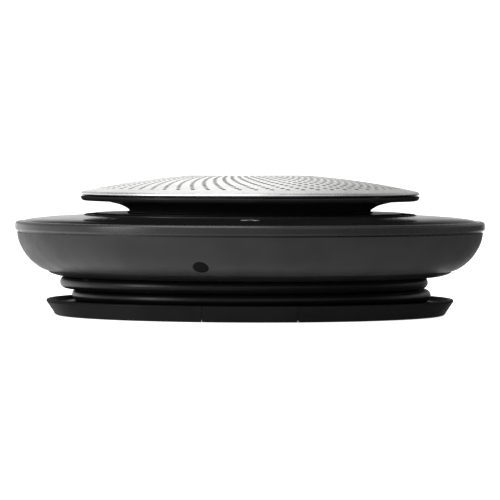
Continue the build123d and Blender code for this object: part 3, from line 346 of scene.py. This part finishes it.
def make_finishes():
    """One finish for each material slot of the record."""
    grey = (0.0238, 0.0238, 0.0243)
    return {
        "grille_metal": metal("grille_silver", (0.88, 0.875, 0.865), 0.3, grain=0.2 * MM, depth=0.002 * MM),
        "cloth_black": woven("grille_cloth", (0.002, 0.002, 0.002), (0.012, 0.012, 0.012), 0.22 * MM),
        "pod_black": gloss_black("pod_gloss_black", 0.03, 0.2),
        "housing_grey": plastic("housing_satin_grey", grey, 0.42, Specular_IOR_Level=0.25),
        "panel_gloss": gloss_black("panel_gloss_black", 0.047, 0.12, depth=0.0003 * MM, rim=0.12,
                                   mirror=0.85),
        "base_black": gloss_black("base_black", 0.014, 0.36, depth=0.004 * MM, rim=0.5),
        "light_guide": gloss_black("light_guide_smoked", 0.005, 0.7),
        "foam_black": foam("foam_black", (0.012, 0.012, 0.012)),
        "cord_black": plastic("cord_jacket", (0.004, 0.004, 0.0043), 0.33, grain=0.35 * MM,
                              depth=0.012 * MM, Specular_IOR_Level=0.22),
        "plug_black": plastic("plug_moulding", (0.009, 0.009, 0.0095), 0.42, depth=0.01 * MM),
        "plug_metal": metal("plug_nickel", (0.62, 0.61, 0.59), 0.22, (1, 12, 12)),
        "plug_white": plastic("connector_nylon", (0.62, 0.6, 0.54), 0.5, Subsurface_Weight=0.1),
        "screw_steel": metal("screw_zinc", (0.42, 0.43, 0.45), 0.3),
        "spring_steel": metal("spring_steel", (0.5, 0.5, 0.5), 0.24, (12, 1, 1)),
        "basket_steel": metal("basket_zinc_plate", (0.36, 0.36, 0.37), 0.4),
        "motor_steel": metal("motor_zinc_plate", (0.48, 0.49, 0.52), 0.34),
        "shield_metal": metal("shield_tin_plate", (0.6, 0.6, 0.58), 0.28, (1, 8, 1)),
        "coil_copper": windings("coil_wire", (0.72, 0.35, 0.17)),
        "cone_paper": fibrous("cone_paper", (0.035, 0.034, 0.032)),
        "rubber_black": plastic("rubber_black", (0.011, 0.011, 0.011), 0.62, grain=0.5 * MM, depth=0.02 * MM),
        "spider_cloth": woven("spider_cloth", (0.2, 0.12, 0.04), (0.5, 0.34, 0.15), 0.35 * MM),
        "board_green": board("circuit_board"),
        "part_grey": plastic("component_body", (0.16, 0.16, 0.17), 0.4),
        "battery_foil": metal("battery_laminate", (0.42, 0.43, 0.47), 0.36, grain=1.2 * MM, depth=0.03 * MM),
        "label_grey": plastic("label_film", (0.22, 0.22, 0.225), 0.45, depth=0.004 * MM),
    }


def node_slots():
    """Material slot of each CAD node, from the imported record."""
    return {row["node"]: row["material_slot"] for row in frame["record"]["subparts"]}


FINISHES = make_finishes()
# Near-black colour for the walls and underside of the grille's holes: painted shade, so the holes read dark.
HOLE_PAINTED_SHADE = plastic("hole_painted_shade", (0.004, 0.004, 0.004), 0.7, Specular_IOR_Level=0.05)
KEY_PRINT = plastic("key_print", (0.3, 0.3, 0.3), 0.6, depth=0.001 * MM, Specular_IOR_Level=0.2)
UNLIT_PRINT = plastic("unlit_print", (0.03, 0.03, 0.031), 0.5, depth=0.001 * MM,
                      Specular_IOR_Level=0.2)
BADGE_PRINT = plastic("badge_print", (0.002, 0.002, 0.002), 0.5, depth=0.002 * MM,
                      Specular_IOR_Level=0.1)
RIM_SATIN = plastic("rim_satin_grey", (0.016, 0.016, 0.0163), 0.26, depth=0.002 * MM,
                    Specular_IOR_Level=0.4)
for node, slot_name in node_slots().items():
    CAD[node].material_slots[0].material = FINISHES[slot_name]


# ---------------------------------------------------------------- mesh helpers

def new_piece(name, points, faces, materials, body, slot_name, normals=None, choice=None):
    """A smooth mesh piece on a body, its points in millimetres; choice picks each face's material."""
    mesh = bpy.data.meshes.new(name)
    mesh.from_pydata([Vector(p) * MM for p in points], [], faces)
    mesh.update()
    mesh.polygons.foreach_set("use_smooth", [True] * len(mesh.polygons))
    if normals is not None:
        mesh.normals_split_custom_set_from_vertices(normals)
    for material in materials:
        mesh.materials.append(material)
    if choice is not None:
        mesh.polygons.foreach_set("material_index", choice)
    piece = bpy.data.objects.new(name, mesh)
    bpy.context.scene.collection.objects.link(piece)
    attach(piece, body)
    return piece


def polar(radius, angle, height=0.0):
    return (radius * math.cos(angle), radius * math.sin(angle), height)


def crease(piece, degrees):
    """Sharp edges where the faces meet at more than an angle."""
    mesh = piece.data
    sharp = math.radians(degrees)
    links = {}
    for face in mesh.polygons:
        for key in face.edge_keys:
            links.setdefault(key, []).append(face.normal)
    for edge in mesh.edges:
        normals = links[edge.key]
        edge.use_edge_sharp = len(normals) == 2 and normals[0].angle(normals[1], 0) > sharp


def bridge(first, second):
    """Faces between two closed loops of vertex numbers of the same length."""
    count = len(first)
    faces = []
    for i in range(count):
        j = (i + 1) % count
        faces.append((first[i], first[j], second[j], second[i]))
    return faces


def skin(rows, closed=False):
    """Points and faces of a solid through rows of points, each of which is a closed loop.

    The last row joins on to the first one if closed, and otherwise both are capped.
    """
    count = len(rows[0])
    points = [point for row in rows for point in row]
    loops = [range(i * count, (i + 1) * count) for i in range(len(rows))]
    faces = []
    for first, second in zip(loops, loops[1:]):
        faces += bridge(first, second)
    if closed:
        faces += bridge(loops[-1], loops[0])
    else:
        faces.append(tuple(reversed(loops[0])))
        faces.append(tuple(loops[-1]))
    return points, faces


def merge(solids):
    """Points and faces of several solids as one mesh."""
    points, faces = [], []
    for more_points, more_faces in solids:
        start = len(points)
        points += more_points
        faces += [tuple(start + i for i in face) for face in more_faces]
    return points, faces


# ---------------------------------------------------------------- perforated grille

GRILLE_ARMS = 60
GRILLE_RINGS = 14
OUTER_RING_R = 42.2
RING_PITCH = 1.9
ARM_TWIST = math.radians(-1.43)      # turn of each arm from one ring to the next one in
FIRST_ARM = math.radians(-90 - 3.85)
HOLE_R = 0.62
QUARTER = 4                          # points along one side of a hole's cell
HOLE_LOOP = 4 * QUARTER              # points round a hole, and round its cell
SHEET_T = 0.5
EDGE_BREAK = 0.03                    # rounded edge of a punched hole
HEM_DROP = 0.25                      # depth of the sheet's edge below its underside
OUTER_LOOPS = (43.9, 44.7, 45.5, 46.2, 46.6)
INNER_LOOPS = (14.5, 12.0, 9.5, 7.0, 4.5, 2.0)


class Dome:
    """The grille's sphere, from the box of its CAD node."""

    def __init__(self):
        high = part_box("speaker_grille")[1] / MM
        self.edge_r = high.x
        self.top = high.z
        rise = self.top - edge_height("speaker_grille", self.edge_r)
        self.radius = (self.edge_r ** 2 + rise ** 2) / (2 * rise)

    def point(self, radius, angle, below=0.0):
        sphere = self.radius - below
        height = self.top - self.radius + math.sqrt(sphere ** 2 - radius ** 2)
        return polar(radius, angle, height)

    def normal(self, point):
        return (Vector(point) - Vector((0, 0, self.top - self.radius))).normalized()


def edge_height(node, radius):
    """Highest point of a CAD node at its outer radius, in millimetres."""
    reach = (radius - 0.02) * MM
    return max(v.co.z for v in CAD[node].data.vertices if math.hypot(v.co.x, v.co.y) > reach) / MM


def lattice(ring_step, arm_step):
    """Radius and angle of a point of the sheared grid, counted in quarters of a cell."""
    radius = OUTER_RING_R - RING_PITCH * ring_step / QUARTER
    turn = math.tau / GRILLE_ARMS * arm_step + ARM_TWIST * ring_step
    return radius, FIRST_ARM + turn / QUARTER


def cell_outline(ring, arm):
    """Grid steps round the cell of one hole, anticlockwise from its inner right corner."""
    low, right = QUARTER * ring + QUARTER // 2, QUARTER * arm - QUARTER // 2
    outward = [(low - i, right) for i in range(QUARTER)]
    across = [(low - QUARTER, right + i) for i in range(QUARTER)]
    inward = [(low - QUARTER + i, right + QUARTER) for i in range(QUARTER)]
    back = [(low, right + QUARTER - i) for i in range(QUARTER)]
    return outward + across + inward + back


def make_grille():
    """The domed sheet with its swirl of punched holes, plain metal outside and inside them, and painted shade
    on the holes' walls.
    """
    dome = Dome()
    points, normals, faces, choice = [], [], [], []
    around = GRILLE_ARMS * QUARTER
    shared = {}

    def vertex(radius, angle, below, key=None, normal=None):
        if key in shared:
            return shared[key]
        place = dome.point(radius, angle, below)
        points.append(place)
        normals.append(normal or dome.normal(place) * (1 if below < SHEET_T else -1))
        if key is not None:
            shared[key] = len(points) - 1
        return len(points) - 1

    def outline_vertex(steps, below):
        ring_step, arm_step = steps
        return vertex(*lattice(ring_step, arm_step), below, (ring_step, arm_step % around, below))

    def add_hole(ring, arm):
        centre_r, centre_angle = lattice(QUARTER * ring, QUARTER * arm)
        outline = cell_outline(ring, arm)
        centre = Vector(polar(centre_r, centre_angle))
        rims = []
        for spread, below in ((EDGE_BREAK, 0.0), (0.0, EDGE_BREAK), (0.0, SHEET_T)):
            rim = []
            for steps in outline:
                away = (Vector(polar(*lattice(*steps))) - centre).normalized()
                spot = centre + away * (HOLE_R + spread)
                angle = math.atan2(spot.y, spot.x)
                up = dome.normal(dome.point(spot.length, angle))
                normal = None
                if below:
                    normal = (up - away if below < SHEET_T else -up).normalized()
                rim.append(vertex(spot.length, angle, below, normal=normal))
            rims.append(rim)
        top = [outline_vertex(steps, 0.0) for steps in outline]
        under = [outline_vertex(steps, SHEET_T) for steps in outline]
        loops = [top, *rims, under]
        for layer, (outer, inner) in enumerate(zip(loops, loops[1:])):
            faces.extend(bridge(outer, inner))
            # Every layer below the top edge of a hole takes the second material, the painted shade.
            choice.extend([int(layer > 0)] * HOLE_LOOP)

    def border(ring_step, below):
        """The grid's vertices on one circle, in order of angle."""
        return [outline_vertex((ring_step, step - QUARTER // 2), below) for step in range(around)]

    def plain_ring(radius, start, below):
        return [vertex(radius, start + math.tau * i / around, below) for i in range(around)]

    for ring in range(GRILLE_RINGS):
        for arm in range(GRILLE_ARMS):
            add_hole(ring, arm)

    half = math.pi / GRILLE_ARMS
    outer_start = FIRST_ARM - half - ARM_TWIST / 2
    layers = []
    for below in (0.0, SHEET_T):
        loop = border(-QUARTER // 2, below)
        for radius in (*OUTER_LOOPS, dome.edge_r):
            following = plain_ring(radius, outer_start, below)
            faces += bridge(loop, following) if below else bridge(following, loop)
            loop = following
        layers.append(loop)
    hem = []
    for i in range(around):
        angle = outer_start + math.tau * i / around
        hem.append(vertex(dome.edge_r, angle, SHEET_T + HEM_DROP, normal=Vector(polar(1, angle))))
    faces += bridge(hem, layers[0]) + bridge(layers[1], hem)

    inner_ring = GRILLE_RINGS - 1
    inner_start = FIRST_ARM - half + ARM_TWIST * (inner_ring + 0.5)
    for below in (0.0, SHEET_T):
        loop = border(QUARTER * inner_ring + QUARTER // 2, below)
        for radius in INNER_LOOPS:
            following = plain_ring(radius, inner_start, below)
            faces += bridge(following, loop) if below else bridge(loop, following)
            loop = following
        faces.append(tuple(loop[::-1] if below else loop))

    choice += [0] * (len(faces) - len(choice))
    piece = new_piece("grille_perforated", points, faces, [FINISHES["grille_metal"], HOLE_PAINTED_SHADE],
                      "housing", "grille_metal", normals, choice)
    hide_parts("speaker_grille")


# ---------------------------------------------------------------- turned pieces

AROUND = 180


def lathe(name, profile, material, slot_name):
    """A piece of the housing: a closed profile of (radius, height) turned about the vertical axis."""
    rows = []
    for i in range(AROUND):
        rows.append([polar(radius, math.tau * i / AROUND, height) for radius, height in profile])
    return new_piece(name, *skin(rows, closed=True), [material], "housing", slot_name)


def make_grille_rim():
    """The rolled silver edge round the dome."""
    profile = [
        (46.94, 34.93), (47.1, 34.89), (47.3, 34.82), (47.5, 34.71), (47.65, 34.57), (47.74, 34.4),
        (47.76, 34.24), (47.71, 34.08), (47.6, 33.96), (47.44, 33.89), (47.2, 33.88), (46.94, 33.9),
    ]
    piece = lathe("grille_rim", profile, FINISHES["grille_metal"], "grille_metal")
    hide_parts("grille_trim_ring")


RIM_ARC_CENTRE = (65.28, 25.66)
RIM_ARC_R = (0.97, 0.86)     # outward and upward
RIM_ARC_STEPS = 10


def make_rim_band():
    """The widest ring of the body, with its rounded shoulder."""
    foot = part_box("rim_band")[0].z / MM
    shoulder = [(64.95, 26.5)]
    for i in range(RIM_ARC_STEPS + 1):
        turn = math.pi / 2 * (1 - i / RIM_ARC_STEPS)
        shoulder.append((RIM_ARC_CENTRE[0] + RIM_ARC_R[0] * math.cos(turn),
                         RIM_ARC_CENTRE[1] + RIM_ARC_R[1] * math.sin(turn)))
    side = [(66.25, 24.35), (65.75, 23.82), (65.2, 23.82), (65.2, foot)]
    inside = [(63.95, foot), (63.95, 25.0), (64.95, 25.0)]
    piece = lathe("rim_band_turned", shoulder + side + inside, RIM_SATIN, "housing_grey")
    crease(piece, 35)
    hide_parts("rim_band")


SPIDER_R = (10.36, 19.14)   # inner and outer
SPIDER_T = 0.28
SPIDER_WAVE = 2.2        # radial length of one wave of the cloth
SPIDER_STEPS = 32


def make_spider():
    """The corrugated cloth that centres the voice coil."""
    low, high = (corner.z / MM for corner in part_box("spider"))
    swing = (high - low - SPIDER_T) / 2
    under = []
    for i in range(SPIDER_STEPS + 1):
        radius = SPIDER_R[0] + (SPIDER_R[1] - SPIDER_R[0]) * i / SPIDER_STEPS
        phase = math.tau * (radius - SPIDER_R[0]) / SPIDER_WAVE
        under.append((radius, low + swing * (1 - math.cos(phase))))
    profile = [(radius, height + SPIDER_T) for radius, height in under] + under[::-1]
    piece = lathe("spider_corrugated", profile, FINISHES["spider_cloth"], "spider_cloth")
    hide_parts("spider")
    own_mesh(piece)


# ---------------------------------------------------------------- printed marks

PRINT_T = 0.03               # how far a print stands proud
PRINT_SINK = 0.02            # how far it reaches under the surface
BAR_PARTS = 4                # lengths of a straight bar, which lets it follow a curved surface


class Surface:
    """The skin of a CAD node, for laying prints on it."""

    def __init__(self, node):
        mesh = CAD[node].data
        corners = [v.co / MM for v in mesh.vertices]
        self.tree = BVHTree.FromPolygons(corners, [tuple(p.vertices) for p in mesh.polygons])

    def hit(self, start, direction):
        place, normal, _, _ = self.tree.ray_cast(Vector(start), Vector(direction))
        if normal.dot(Vector(direction)) > 0:
            normal = -normal
        return place, normal


class Print:
    """Flat strokes laid on a surface, each a solid of its own."""

    def __init__(self, lay):
        self.lay = lay
        self.strokes = []

    def stroke(self, path, halves, closed=False):
        """A line along a path, with its half width at each of the path's points."""
        count = len(path)
        rows = []
        for i, (spot, half) in enumerate(zip(path, halves)):
            before = path[i - 1] if i or closed else spot
            after = path[(i + 1) % count] if i + 1 < count or closed else spot
            along = (Vector(after) - Vector(before)).normalized()
            side = Vector((-along.y, along.x)) * half
            left, right = Vector(spot) + side, Vector(spot) - side
            rows.append([self.lay(left, PRINT_T), self.lay(right, PRINT_T),
                         self.lay(right, -PRINT_SINK), self.lay(left, -PRINT_SINK)])
        self.strokes.append(skin(rows, closed))

    def bar(self, start, end, half):
        path = [Vector(start).lerp(Vector(end), share / BAR_PARTS) for share in range(BAR_PARTS + 1)]
        self.stroke(path, [half] * len(path))


def arc(centre, radius, first, last, steps):
    """Points on an arc, angles in degrees."""
    points = []
    for i in range(steps + 1):
        angle = math.radians(first + (last - first) * i / steps)
        points.append((centre[0] + radius * math.cos(angle), centre[1] + radius * math.sin(angle)))
    return points


def handset(marks):
    steps = 24
    path = [(x, 1.7 * y) for x, y in arc((0, -1.1), 1.95, 158, 22, steps)]
    halves = []
    for i in range(steps + 1):
        outward = abs(2 * i / steps - 1)
        swell = min(1.0, max(0.0, (outward - 0.45) / 0.15))
        halves.append(0.38 + 0.42 * swell * swell * (3 - 2 * swell))
    marks.stroke(path, halves)


def plus(marks):
    marks.bar((-1.5, 0), (1.5, 0), 0.24)
    marks.bar((0, 0.24), (0, 1.5), 0.24)
    marks.bar((0, -0.24), (0, -1.5), 0.24)


def minus(marks):
    marks.bar((-1.5, 0), (1.5, 0), 0.24)


def microphone_off(marks):
    capsule = arc((0, 0.9), 0.6, 0, 180, 10) + arc((0, 0.1), 0.6, 180, 360, 10)
    marks.stroke(capsule, [0.13] * len(capsule), closed=True)
    marks.stroke(arc((0, 0.1), 1.2, 190, 350, 14), [0.13] * 15)
    marks.bar((0, -1.25), (0, -1.75), 0.13)
    marks.bar((-1.55, 1.45), (-0.85, 0.75), 0.13)
    marks.bar((0.85, -0.95), (1.5, -1.6), 0.13)


def power(marks):
    marks.stroke(arc((0, -0.1), 1.45, 125, 415, 26), [0.2] * 27)
    marks.bar((0, 0.35), (0, 1.75), 0.2)


def battery_level(marks):
    marks.stroke([(-1.6, -0.8), (-1.6, 0.8), (1.4, 0.8), (1.4, -0.8)], [0.17] * 4, closed=True)
    marks.bar((1.62, 0), (1.9, 0), 0.3)
    for place in (-1.05, -0.35, 0.35):
        marks.bar((place, -0.45), (place, 0.45), 0.19)


def waves(marks):
    for radius in (0.9, 1.7, 2.5):
        marks.stroke(arc((0, -1.3), radius, 50, 130, 10), [0.18] * 11)
    marks.bar((0, -1.55), (0, -1.15), 0.2)


def end_call(marks):
    handset(marks)
    marks.bar((-1.0, -1.75), (1.0, -1.75), 0.16)


KEY_R = 54.6
KEY_DROP_Z = 40              # height that the keys' outlines are dropped on to the panel from
KEYS = (
    ("answer", handset, -90, KEY_PRINT),
    ("volume_up", plus, -45, UNLIT_PRINT),
    ("volume_down", minus, 0, UNLIT_PRINT),
    ("mute", microphone_off, 45, UNLIT_PRINT),
    ("power", power, 90, UNLIT_PRINT),
    ("charge", battery_level, 135, UNLIT_PRINT),
    ("connect", waves, 180, UNLIT_PRINT),
    ("end_call", end_call, 225, UNLIT_PRINT),
)


def make_keys():
    """Generic key symbols round the touch ring, each with its top towards the middle."""
    panel = Surface("touch_panel")
    for name, draw, turn, material in KEYS:
        angle = math.radians(turn)
        inward = Vector((-math.cos(angle), -math.sin(angle), 0))
        rightward = Vector((-math.sin(angle), math.cos(angle), 0))
        middle = Vector(polar(KEY_R, angle, KEY_DROP_Z))

        def lay(spot, lift):
            place, normal = panel.hit(middle + rightward * spot[0] + inward * spot[1], (0, 0, -1))
            return place + normal * lift

        marks = Print(lay)
        draw(marks)
        new_piece("key_" + name, *merge(marks.strokes), [material], "housing", "panel_gloss")


BADGE_FRONT = (-13.3, -100, 15.1)    # a point straight in front of the badge
BADGE_R = 2.2
BADGE_STEPS = 48
BADGE_RINGS = ((1.0, -0.15), (1.0, 0.0), (0.93, 0.045), (0.8, 0.05), (0.55, 0.05))


def make_badge():
    """A plain round badge on the front of the bowl, in rings of (share of its radius, height)."""
    bowl = Surface("lower_housing")
    centre, normal = bowl.hit(BADGE_FRONT, (0, 1, 0))
    across = Vector((0, 0, 1)).cross(normal).normalized()
    upward = normal.cross(across)

    def put(share, angle, lift):
        spot = centre + (across * math.cos(angle) + upward * math.sin(angle)) * BADGE_R * share
        place, tilt = bowl.hit(spot + normal * 5, -normal)
        return place + tilt * lift

    rows = []
    for share, lift in BADGE_RINGS:
        rows.append([put(share, math.tau * i / BADGE_STEPS, lift) for i in range(BADGE_STEPS)])
    new_piece("side_badge", *skin(rows), [BADGE_PRINT], "housing", "housing_grey")


# ---------------------------------------------------------------- screws, foot, flap and lead

POSTS = [(30, 20), (-30, 20), (30, -20), (-30, -20)]
BOSSES = [polar(51, math.radians(30 + 60 * i))[:2] for i in range(6)]
SCREW_STEPS = 48
SCREW_HEAD_R = 2.16
SCREW_SHANK_R = 1.0
SCREW_TIP_R = 0.6


def lobed(angle):
    """Outline of a six-lobe drive."""
    return 0.98 + 0.2 * math.cos(6 * angle)


def make_screws(node, centres, face_z, tip_z):
    """Countersunk screws with a six-lobe drive, driven in from below."""
    length = tip_z - face_z
    rings = [
        (lambda a: 0.93 * lobed(a), 0.75), (lobed, 0.62), (lobed, 0.05), (lambda a: 0.06 + lobed(a), 0.0),
        (lambda a: SCREW_HEAD_R - 0.08, 0.0), (lambda a: SCREW_HEAD_R, 0.04),
        (lambda a: SCREW_HEAD_R, 0.12), (lambda a: SCREW_SHANK_R, 1.28),
        (lambda a: SCREW_SHANK_R, length - 0.5), (lambda a: SCREW_TIP_R, length),
    ]
    screws = []
    for x, y in centres:
        rows = []
        for radius, height in rings:
            angles = [math.tau * i / SCREW_STEPS for i in range(SCREW_STEPS)]
            rows.append([(x + radius(angle) * math.cos(angle), y + radius(angle) * math.sin(angle),
                          face_z + height) for angle in angles])
        screws.append(skin(rows))
    piece = new_piece(node + "_lobed", *merge(screws), [FINISHES["screw_steel"]], "housing", "screw_steel")
    crease(piece, 40)
    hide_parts(node)


FOOT_R = (46.0, 51.0)        # inner and outer
FOOT_T = 0.9
FOOT_STEPS = 150
FOOT_GAP = 17.8              # half the opening for the stand, in degrees
FOOT_RIBS = 7
FOOT_RIB_PITCH = 4.6 / FOOT_RIBS


def make_foot():
    """The rubber foot, an open ring with fine ribs on its sole."""
    inner, outer = FOOT_R
    profile = [(inner, FOOT_T), (inner, 0.22), (inner + 0.12, 0.08)]
    for i in range(FOOT_RIBS):
        left = inner + 0.2 + FOOT_RIB_PITCH * i
        right = left + FOOT_RIB_PITCH
        profile += [(left + 0.05, 0.0), (right - 0.25, 0.0), (right - 0.14, 0.2), (right - 0.06, 0.2)]
    profile += [(outer - 0.12, 0.08), (outer, 0.22), (outer, FOOT_T)]
    start, sweep = math.radians(-90 - FOOT_GAP), math.radians(2 * FOOT_GAP - 360)
    rows = []
    for i in range(FOOT_STEPS + 1):
        rows.append([polar(radius, start + sweep * i / FOOT_STEPS, height) for radius, height in profile])
    piece = new_piece("foot_ribbed", *skin(rows), [FINISHES["rubber_black"]], "housing", "rubber_black")
    crease(piece, 30)
    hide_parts("foot_ring")


GRIP_RIBS = 5
GRIP_PITCH = 2.2
GRIP_FIRST_Y = -40.5
GRIP_HALF_L = 6.5
FLAP_SOLE_Z = 0.4


def make_flap_ribs():
    """Grip ribs on the underside of the fold-out stand."""
    profile = [(-0.55, 0.0), (-0.4, -0.2), (-0.25, -0.26), (0.25, -0.26), (0.4, -0.2), (0.55, 0.0),
               (0.55, 0.15), (-0.55, 0.15)]
    ribs = []
    for rib in range(GRIP_RIBS):
        middle = GRIP_FIRST_Y + GRIP_PITCH * rib
        rows = []
        for x in (-GRIP_HALF_L, GRIP_HALF_L):
            rows.append([(x, middle + across, FLAP_SOLE_Z + height) for across, height in profile])
        ribs.append(skin(rows))
    piece = new_piece("flap_grip", *merge(ribs), [FINISHES["base_black"]], "stand", "base_black")
    crease(piece, 35)


SLEEVE_RIBS = 6
SLEEVE_STEPS = 40
SLEEVE_BORE_R = 1.7
SLEEVE_RIB = ((0.0, 0.3), (0.08, 0.0), (0.62, 0.0), (0.7, 0.3), (1.0, 0.3))


def make_sleeve(name, start, end, radii, slot_name):
    """A ribbed bend relief round the lead, between two points on its centre line."""
    along = (end - start).normalized()
    side = along.cross(Vector((0, 0, 1))).normalized()
    up = side.cross(along)
    profile = []
    for i in range(SLEEVE_RIBS):
        outer = radii[0] + (radii[1] - radii[0]) * i / (SLEEVE_RIBS - 1)
        profile += [((i + place) / SLEEVE_RIBS, outer - depth) for place, depth in SLEEVE_RIB]
    profile += [(1.0, SLEEVE_BORE_R), (0.0, SLEEVE_BORE_R)]
    rows = []
    for i in range(SLEEVE_STEPS):
        angle = math.tau * i / SLEEVE_STEPS
        spoke = side * math.cos(angle) + up * math.sin(angle)
        rows.append([start.lerp(end, share) + spoke * radius for share, radius in profile])
    piece = new_piece(name, *skin(rows, closed=True), [FINISHES[slot_name]], "housing", slot_name)
    crease(piece, 35)


def make_sleeves():
    """The bend reliefs where the lead leaves the drum and where it enters the plug."""
    clamp = Vector(polar(41, math.radians(58), 9.32))
    channel = Vector(polar(50.2, math.radians(34), 9.32))
    make_sleeve("lead_sleeve", clamp.lerp(channel, 0.36), clamp.lerp(channel, 0.72), (2.5, 2.2), "cord_black")
    plug = Vector((-18.5, 36.1, 7.2))
    tail = Vector((-34.5, 35.1, 6.6))
    make_sleeve("plug_sleeve", plug.lerp(tail, 0.1), plug.lerp(tail, 0.52), (2.55, 2.15), "plug_black")


make_grille_rim()
make_rim_band()
make_spider()
make_keys()
make_badge()
make_screws("base_screws", POSTS, 0.2, 7.0)
make_screws("housing_screws", BOSSES, 11.1, 20.5)
make_foot()
make_flap_ribs()
make_sleeves()
make_camera()
make_world()
make_lights()
make_floor()
make_grille()
